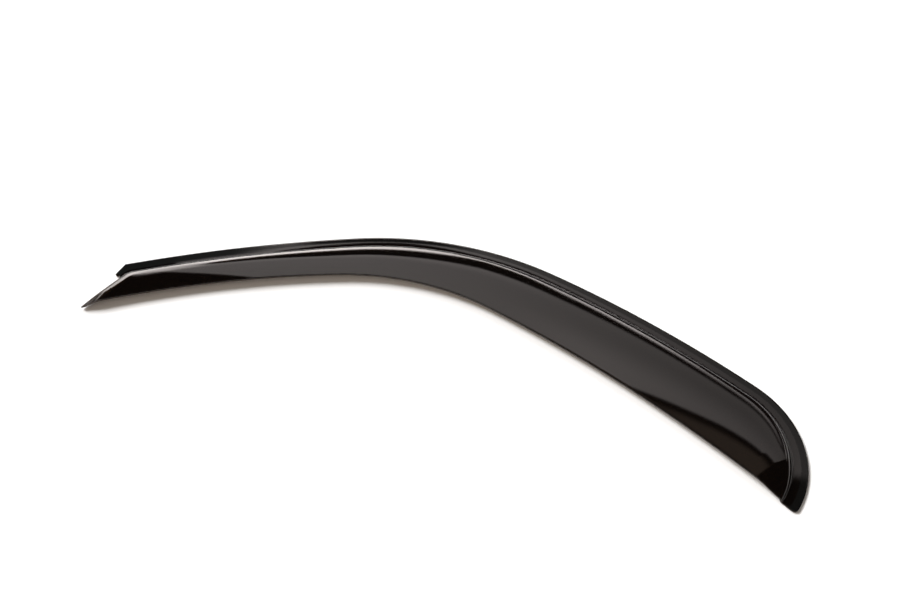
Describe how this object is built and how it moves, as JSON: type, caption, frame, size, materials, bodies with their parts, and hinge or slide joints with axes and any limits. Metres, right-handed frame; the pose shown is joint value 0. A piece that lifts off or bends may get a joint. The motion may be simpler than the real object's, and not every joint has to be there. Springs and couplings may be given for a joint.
{
  "type": "window rain deflector",
  "caption": "Curved smoked acrylic shield that sticks along the top and front edge of a car door window, so that rain runs past the open gap.",
  "frame": {"origin": "on the sticking face of the tape, in the middle of its width, half-way round the bend", "axes": "+X from the rear end to the front hook, +Y towards the roof, +Z outward from the door"},
  "size_m": [0.8994, 0.3091, 0.0135],
  "materials": {
    "smoked_acrylic": "polished smoked clear acrylic, dark grey-brown, slightly see-through",
    "foam_tape": "dark grey double-sided acrylic foam tape"
  },
  "bodies": {
    "root": {"shield": "smoked_acrylic", "adhesive_tape": "foam_tape"}
  },
  "joints": []
}
